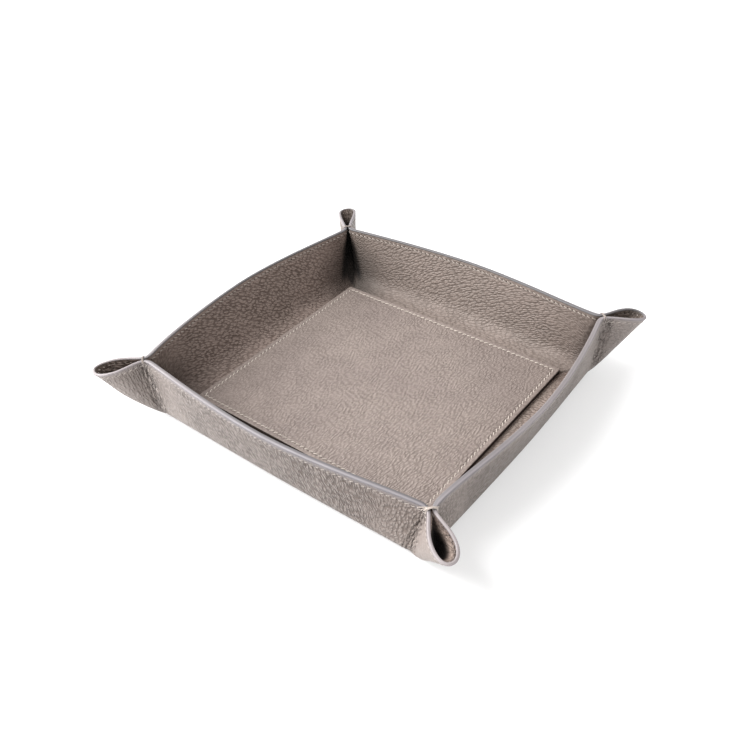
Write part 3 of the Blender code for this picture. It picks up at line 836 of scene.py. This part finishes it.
outerFinish = leatherMaterial("outerGrainLeather", outerLook, False)
liningFinish = leatherMaterial("liningGrainLeather", liningLook, True)
paintFinish = paintMaterial("edgePaint", {
    "inner": (82, 80, 81), "outer": (98, 94, 97), "deep": (84, 81, 83), "ridgeHighlight": (122, 117, 120),
    "sides": (-1.3, 1.3), "ridgeAt": 0.75, "ridgeReach": (0.1, 0.9), "ridgeHighlightShare": 0.8,
    "linesAlong": 0.12, "linesOver": 1.4, "lineShare": 0.35, "lineDepth": 0.1,
    "patchScale": 40.0, "patch": (0.35, 0.75), "patchShare": 0.3, "fineScale": 900.0, "fineDepth": 0.03,
    "earReach": (-2.0, 4.0), "paintedLight": (136, 128, 128), "paintedLightShare": 0.75, "roughness": 0.5, "specular": 0.4})
panelFinish = panelMaterial("panelLeather", {
    "deep": (122, 111, 106), "light": (128, 117, 111), "valley": (76, 66, 61), "hole": (43, 33, 27),
    "ink": (35, 25, 19), "roughness": 0.55, "specular": 0.3, "pebble": 0.00135, "fineGrain": 0.5,
    "grainDepth": 0.65, "valleyDark": 0.44, "valleyRough": 0.12, "grainAlong": 80, "grainLong": 0.42,
    "cloudScale": 22.0, "cornerCalm": 0.6,
    "seamDepth": 0.25, "holeShadeShare": 0.8, "pressed": (-2.6, 0.6), "edgeCalm": 0.3,
    "cornerWay": (0.7071, 0.7071, 0.0), "cornerReach": (0.03, 0.125), "cornerShadeShare": 0.24})
boardFinish = boardMaterial("inkedBoard", {
    "deep": (21, 13, 8), "light": (39, 27, 19), "layers": (60.0, 60.0, 2600.0), "roughness": 0.6,
    "specular": 0.3})
threadLooks = (  # deep, light, painted shade between the plies, turns in a mm, roughness, specular
    ("ecruThread", (172, 162, 152), (192, 182, 173), (124, 112, 102), 1.1, 0.65, 0.3),
    ("taupeThread", (146, 137, 130), (168, 160, 153), (108, 98, 91), 1.1, 0.65, 0.3),
    # a darker copy of the ecru thread for the rim, painted shade
    ("ecruRimThreadShaded", (150, 140, 132), (173, 164, 156), (112, 101, 92), 1.1, 0.65, 0.3),
    ("tackThread", (160, 148, 139), (184, 173, 165), (118, 104, 94), 0.8, 0.6, 0.35),
    ("tackThreadShaded", (132, 121, 114), (156, 145, 138), (98, 86, 78), 0.8, 0.6, 0.35),
)
threads = [threadMaterial(*look) for look in threadLooks]
threadFinish, bobbinFinish, rimFinish, tackFinish, shadedTackFinish = threads
print("tray: finishes made")

# Skins and painted edge

hiddenRows = np.linspace(0, lastRow, fineness["hiddenRows"] + fineness["curlRows"] // 2).astype(int)
outerRings = [*grooveRings(), *(ringOf(r, "outside") for r in range(lastRow + 1)),
              *(ringOf(r, "hiddenOutside") for r in hiddenRows[::-1])]
liningRings = [*(ringOf(r, "hiddenInside") for r in hiddenRows),
               *(ringOf(r, "inside") for r in range(lastRow, -1, -1)), hiddenRing()]
outerSkin = shellObject("outerSkin", outerRings, {"along": 72, "bend": 0.0}, outerFinish)
liningSkin = shellObject("liningSkin", liningRings, {"along": 40, "bend": 0.00071}, liningFinish)
rimPaint = beadObject("rimPaint", paintFinish)
print("tray: skins have", len(outerSkin.data.polygons), "and", len(liningSkin.data.polygons), "faces")

# Leather of the raised panel, its cut edges inked dark

panelSeam = {"along": 48, "across": 43}  # stitches on each side
panelShape = {
    "edgeRound": 0.45, "edgeAngles": (0.4, 0.8, 1.2, 1.57), "inkTo": 0.7, "cornerSteps": 6, "sideSteps": 40,
    "pull": 0.16,  # of the stitches, and its share at each distance from the edge:
    "pulled": ((1.6, 0.0), (2.7, 0.125), (3.1, 0.7), (3.5, 1.0), (3.9, 0.7), (4.4, 0.125), (6.0, 0.0)),
}


def panelOutline(inset, height):
    x, y = panel["length"] / 2 - inset, panel["width"] / 2 - inset
    r = max(panel["corner"] - inset, 0.25)
    points = []
    for sx, sy, start, after in ((1, 1, 0.0, (-x + r, y)), (-1, 1, 0.5, (-x, -y + r)),
                                 (-1, -1, 1.0, (x - r, -y)), (1, -1, 1.5, (x, y - r))):
        angles = math.pi * (start + np.linspace(0, 0.5, panelShape["cornerSteps"] + 1))
        points += [(sx * (x - r) + r * math.cos(a), sy * (y - r) + r * math.sin(a), height) for a in angles]
        here = np.array(points[-1])
        points += [here * (1 - t) + np.array([*after, height]) * t
                   for t in np.linspace(0, 1, panelShape["sideSteps"] + 1)[1:-1]]
    return np.array(points)


def panelObject(name, material):
    e, pull = panelShape["edgeRound"], panelShape["pull"]
    profile = [(0.0, panel["bottom"], 1.0), (0.0, panel["top"] - e, 1.0)]  # inset, height, ink
    profile += [(e - e * math.cos(a), panel["top"] - e + e * math.sin(a), float(a < panelShape["inkTo"]))
                for a in panelShape["edgeAngles"]]
    profile += [(inset, panel["top"] - pull * share, 0.0) for inset, share in panelShape["pulled"]]
    rings = [panelOutline(inset, height) for inset, height, ink in profile]
    size = len(rings[0])
    made = plainObject(name, np.concatenate(rings), ringFaces(len(rings), size), material)
    keep(made.data, "ink", np.repeat([ink for inset, height, ink in profile], size))
    keep(made.data, "fromSeam", np.repeat([inset - panel["margin"] for inset, height, ink in profile], size))
    x, y = rings[0][:, 0], rings[0][:, 1]
    onEnd = abs(x) > panel["length"] / 2 - 1e-6
    count = np.where(onEnd, (y / seamSize[True] + 0.5) * panelSeam["across"],
                     (x / seamSize[False] + 0.5) * panelSeam["along"])
    keep(made.data, "stitches", np.tile(count, len(rings)))
    return made


panelTop = panelObject("panelTop", panelFinish)
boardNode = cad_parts["panel_board"]
boardNode.data.materials.clear()
boardNode.data.materials.append(boardFinish)
print("tray: panel made")

# Stitches, one arched thread each, set on points that carry their heading and the way up

stitch = {"thickness": 0.72, "length": 2.9, "sink": 0.36, "arch": 0.62, "slant": 0.38, "jitter": 0.05}
bobbin = {**stitch, "thickness": 0.5, "length": 2.7, "arch": 0.36, "sink": 0.3}
stitchSteps = {"along": 7, "round": 7}
stitchInputs = {"Geometry": "Geometry", "Thickness": "Float", "Length": "Float", "Sink": "Float",
                "Arch": "Float", "Slant": "Float", "Jitter": "Float", "Seed": "Int", "Finish": "Material"}


def stored(curve, name, value):
    given = {"Geometry": curve, "Name": name, "Value": value}
    return add(curve.tree, "GeometryNodeStoreNamedAttribute", given, data_type="FLOAT", domain="POINT")


def stitchTree():
    tree = bpy.data.node_groups.new("stitchRow", "GeometryNodeTree")
    for key, kind in stitchInputs.items():
        tree.interface.new_socket(key, in_out="INPUT", socket_type="NodeSocket" + kind)
    tree.interface.new_socket("Geometry", in_out="OUTPUT", socket_type="NodeSocketGeometry")
    given, out = givenTo(tree), tree.nodes.new("NodeGroupOutput").inputs

    # one thread: an arch with both ends sunk in the leather
    half, down = given["Length"] * 0.5, given["Sink"] * -1.0
    ends = [add(tree, "CombineXYZ", {"X": half * way, "Z": down}) for way in (-1.0, 1.0)]
    crown = add(tree, "CombineXYZ", {"Z": given["Arch"]})
    line = add(tree, "GeometryNodeCurveQuadraticBezier", {
        "Resolution": stitchSteps["along"], "Start": ends[0], "Middle": crown, "End": ends[1]})
    ring = add(tree, "GeometryNodeCurvePrimitiveCircle", {
        "Resolution": stitchSteps["round"], "Radius": given["Thickness"] * 0.5})
    along = add(tree, "GeometryNodeSplineParameter", out="Length")
    one = add(tree, "GeometryNodeCurveToMesh", {
        "Curve": stored(line, "alongThread", along * (1 / mm)),
        "Profile Curve": stored(ring, "roundThread", along.beside("Factor")), "Fill Caps": True})

    # one of them on every point
    heading, lift = (add(tree, "GeometryNodeInputNamedAttribute", {"Name": key}, data_type="FLOAT_VECTOR")
                     for key in ("heading", "lift"))
    aim = add(tree, "FunctionNodeAxesToRotation", {"Primary Axis": lift, "Secondary Axis": heading},
              primary_axis="Z", secondary_axis="X")
    shake = add(tree, "FunctionNodeRandomValue", {
        2: given["Jitter"] * -1.0, 3: given["Jitter"], "Seed": given["Seed"]}, 1, data_type="FLOAT")
    swing = add(tree, "FunctionNodeAxisAngleToRotation", {
        "Axis": (0.0, 0.0, 1.0), "Angle": given["Slant"] + shake})
    aim = add(tree, "FunctionNodeRotateRotation", {
        "Rotation": aim, "Rotate By": swing}, rotation_space="LOCAL")
    row = add(tree, "GeometryNodeInstanceOnPoints", {
        "Points": given["Geometry"], "Instance": one, "Rotation": aim,
        "Scale": add(tree, "CombineXYZ", {0: shake + 1.0, 1: 1.0, 2: 1.0})})
    row = add(tree, "GeometryNodeRealizeInstances", {0: row})
    row = add(tree, "GeometryNodeSetShadeSmooth", {0: row})
    link(add(tree, "GeometryNodeSetMaterial", {0: row, "Material": given["Finish"]}), out[0])
    return tree


stitchRow = stitchTree()


# way: from which side of the leather the slant is seen
def stitchObject(name, places, headings, lifts, thread, finish, way, number):
    carrier = plainObject(name + "Points", places, [], finish)
    keep(carrier.data, "heading", headings, "FLOAT_VECTOR", "vector")
    keep(carrier.data, "lift", lifts, "FLOAT_VECTOR", "vector")
    modifier = carrier.modifiers.new("stitches", "NODES")
    modifier.node_group = stitchRow
    values = {key.capitalize(): thread[key] * mm for key in ("thickness", "length", "sink", "arch")}
    values |= {"Slant": thread["slant"] * way, "Jitter": thread["jitter"]}
    values |= {"Seed": seed + number, "Finish": finish}
    for socket in stitchRow.interface.items_tree:
        if socket.in_out == "INPUT" and socket.name in values:
            modifier[socket.identifier] = values[socket.name]
    mesh = bpy.data.meshes.new_from_object(carrier.evaluated_get(bpy.context.evaluated_depsgraph_get()))
    made = bpy.data.objects.new(name, mesh)
    scene.collection.objects.link(made)
    bpy.data.objects.remove(carrier)
    return made


def rimStitches(name, side, number, thread, finish):
    closed = np.concatenate([seamLine, seamLine[:1]])
    normal = np.concatenate([loft["normal"][-2], loft["normal"][-2][:1]])
    at = np.arange(rimSeam["count"]) + 0.5
    up = unit(pickedAt(at, phase, normal)) * side
    sunk = rimSeam["sunkInEars"] * smooth(*rimSeam["sunkReach"], loft["across"][-2]) * (side < 0)
    off = tray["leather"] * pared[-2] - sunk
    places = pickedAt(at, phase, closed) + np.interp(at, phase, [*off, off[0]])[:, None] * up
    heading = pickedAt(at + 0.4, phase, closed) - pickedAt(at - 0.4, phase, closed)
    return stitchObject(name, places, unit(heading), up, thread, finish, side, number)


def panelStitches(name, height, lift, number):
    places, headings = [], []
    x, y = seamSize[False] / 2, seamSize[True] / 2
    ends = np.array([[-x, -y], [x, -y], [x, y], [-x, y], [-x, -y]])
    for start, end, count in zip(ends, ends[1:], (panelSeam["along"], panelSeam["across"]) * 2):
        places += [(*(start + (end - start) * (k + 0.5) / count), height) for k in range(count)]
        headings += [(*unit(end - start), 0.0)] * count
    lifts = [(0, 0, lift)] * len(places)
    return stitchObject(name, places, headings, lifts, stitch, threadFinish, lift, number)


threadClear = 0.05  # the panel's stitches lie this much above the pulled-in leather
lowerSeam = 0.62    # height of the lower stitches in their groove
rimNeedle = rimStitches("rimStitchesInside", -1, 1, {**stitch, "thickness": 0.6}, rimFinish)
rimBobbin = rimStitches("rimStitchesOutside", 1, 2, bobbin, bobbinFinish)
panelNeedle = panelStitches("panelStitches", panel["top"] - panelShape["pull"] + threadClear, 1, 3)
panelBobbin = panelStitches("panelStitchesBelow", lowerSeam, -1, 4)
sewn = sum(len(o.data.polygons) for o in (rimNeedle, rimBobbin, panelNeedle, panelBobbin))
print("tray: stitches sewn,", sewn, "faces")

# Tacks at the four pinches: a few turns of thick thread over both rims, crossing on top

tack = {
    "thickness": 0.5, "segments": 30, "sides": 8,
    "sink": 0.42, "clear": 0.03, "shoulder": 0.25,  # how deep in the leather, or how far off it
    "gather": 0.4, "above": 0.1,                    # the turns draw together over the rim
    "climb": 0.3, "crest": 0.4,                     # a turn's rise at its ends in mm, on top in thicknesses
    "pile": 0.22,                                   # each turn lies this much above the one before
    "turns": (  # run from the neck on either side, and drop below the rim
        (-6.0, -0.6, 2.6), (-3.6, 1.2, 3.2), (-2.0, -3.4, 2.4), (-0.6, -1.6, 1.6), (1.6, -0.2, 2.4),
        (-1.2, 0.8, 2.0)),
}


def onOutside(half, along, drop, clear):  # a place on the outer skin, by its run from the neck
    mine = np.flatnonzero(loft["half"] == half)
    column = mine[np.argmin(abs(loft["across"][-1, mine] - along))]
    clear += tray["leather"] * pared[-1, column]
    return loft["rows"][-1, column] - drop * loft["up"][column] + clear * loft["normal"][-2, column]


def smoothPath(points, count, fine=12):  # even steps along a rounded line through the points
    points = np.array(points)
    ends = np.concatenate([[2 * points[0] - points[1]], points, [2 * points[-1] - points[-2]]])
    out = []
    for a, b, c, d in zip(ends, ends[1:], ends[2:], ends[3:]):
        for t in np.linspace(0, 1, fine, endpoint=False):
            out.append(0.5 * (2 * b + (c - a) * t + (2 * a - 5 * b + 4 * c - d) * t * t
                              + (3 * b - a - 3 * c + d) * t**3))
    out = np.array([*out, points[-1]])
    arc = arcOf(out)
    return pickedAt(np.linspace(0, arc[-1], count), arc, out)


def threadTubes(name, paths, thickness, sides, material):
    vertices, faces, along, around = [], [], [], []
    for path in paths:
        start, tangent = len(vertices), unit(np.gradient(path, axis=0))
        side = unit(np.cross(tangent[0], [0.3, 0.2, 1.0]))
        for place, ahead, far in zip(path, tangent, arcOf(path)):
            side = unit(side - ahead * (side @ ahead))
            other = np.cross(ahead, side)
            for k in range(sides):
                angle = 2 * math.pi * k / sides
                vertices.append(place + thickness / 2 * (math.cos(angle) * side + math.sin(angle) * other))
                along.append(far)
                around.append(k / sides)
        faces += [[start + k for k in face] for face in ringFaces(len(path), sides)]
    made = plainObject(name, vertices, faces, material)
    keep(made.data, "alongThread", along)
    keep(made.data, "roundThread", around)
    return made


def tackObject(number):
    paths = []
    radius = tack["thickness"] / 2
    for turn, (first, second, drop) in enumerate(tack["turns"][-corners[number]["tackTurns"]:]):
        places = []
        for half, along in ((2 * number, first), (2 * number + 1, second)):
            hidden = onOutside(half, along, drop + tack["climb"], -tack["sink"])
            outside = onOutside(half, along, drop - tack["climb"], radius + tack["clear"])
            shoulder = onOutside(half, along * tack["gather"], -tack["above"], radius - tack["shoulder"])
            places.append([hidden, outside, shoulder])
        rise = tack["thickness"] * tack["crest"] + tack["pile"] * turn
        top = (places[0][2] + places[1][2]) / 2 + [0, 0, rise]
        paths.append(smoothPath([*places[0], top, *places[1][::-1]], tack["segments"]))
    # tacks of three turns take the darker copy of the tack thread, painted shade
    finish = tackFinish if corners[number]["tackTurns"] > 3 else shadedTackFinish
    name = "tackThread" + corners[number]["name"].capitalize()
    return threadTubes(name, paths, tack["thickness"], tack["sides"], finish)


tackThreads = [tackObject(number) for number in range(len(corners))]
print("tray: corner tacks sewn")

# Floor, light and white surround

studio = {
    "floor": [0.86, 0.86, 0.86, 1.0], "fleck": [0.8, 0.8, 0.8, 1.0], "fleckShare": 0.02, "fleckScale": 300.0,
    "paper": {"roughness": 0.9, "specular": 0.1}, "floorGlow": 0.47, "floorHalf": 3000, "floorDrop": 0.02,
    "surround": 0.95, "surroundTint": (1.0, 0.995, 0.99, 1.0),
}
lights = {  # watts, place and size in metres
    "keyLight": (61.0, (-0.85, -0.85, 1.5), 1.0),
    "sideLight": (48.0, (-1.8, -0.3, 0.9), 1.0),
    "fillLight": (6.0, (1.2, -0.9, 0.7), 1.0),
}


def floorMaterial():
    material, tree, inputs = newMaterial("paleFloor", studio["paper"])
    flecks = noise(objectPlace(tree), studio["fleckScale"], 3.0, "3D")
    link(mixed(flecks * studio["fleckShare"], studio["floor"], studio["fleck"]), inputs["Base Color"])
    glow = add(tree, "Emission", {"Color": (1, 1, 1, 1), "Strength": 1.0})
    seen = add(tree, "LightPath", out="Is Camera Ray") * studio["floorGlow"]
    plain = Wire(tree.nodes["Principled BSDF"].outputs[0])
    both = add(tree, "MixShader", {0: seen, 1: plain, 2: glow})
    link(both, tree.nodes["Material Output"].inputs["Surface"])
    return material


far, low = studio["floorHalf"], -studio["floorDrop"]
edges = [(-far, -far, low), (far, -far, low), (far, far, low), (-far, far, low)]
floor = plainObject("paleFloor", edges, [(0, 1, 2, 3)], floorMaterial())

world = bpy.data.worlds.new("whiteStudio")
world.use_nodes = True
scene.world = world
sky = world.node_tree.nodes["Background"].inputs
sky["Color"].default_value = studio["surroundTint"]
seenRay = add(world.node_tree, "LightPath", out="Is Camera Ray")
link(seenRay * (1.0 - studio["surround"]) + studio["surround"], sky["Strength"])


def softLight(name, power, place, size):
    data = bpy.data.lights.new(name, "AREA")
    data.energy, data.size = power, size
    made = bpy.data.objects.new(name, data)
    made.location = place
    x, y, z = place
    made.rotation_euler = (math.atan2(math.hypot(x, y), z), 0, math.atan2(y, x) + math.pi / 2)
    scene.collection.objects.link(made)


for name, (power, place, size) in lights.items():
    softLight(name, power, place, size)
scene.view_settings.view_transform = "Standard"
print("tray: floor and lights set")

# What each piece stands for

flatX = unfoldedHalf(walls["frontRight"]) + unfoldedHalf(walls["backLeft"])
flatY = unfoldedHalf(walls["backRight"]) + unfoldedHalf(walls["frontLeft"])
cutArea = flatX * flatY - (4 - math.pi) * tray["cutRound"]**2
flat = (flatX * mm, flatY * mm)
print("tray: skins cut to %.1f x %.1f mm" % (flatX, flatY))

standsFor = [(outerSkin, "outer_leather", "outer_leather"), (liningSkin, "lining_leather", "lining_leather"),
             (rimPaint, None, "outer_leather"), (panelTop, "panel_leather", "panel_leather"),
             (panelNeedle, "panel_needle_thread", "thread"), (panelBobbin, "panel_bobbin_thread", "thread"),
             (rimNeedle, "rim_needle_thread", "thread"), (rimBobbin, "rim_bobbin_thread", "thread")]
for made, corner in zip(tackThreads, corners):
    standsFor.append((made, "corner_tack_" + corner["name"], "tack_thread"))
for piece, node, slot in standsFor:
    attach(piece, "root")
    if node:
        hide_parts(node)

cutArea * mm * mm
cutArea * mm * mm
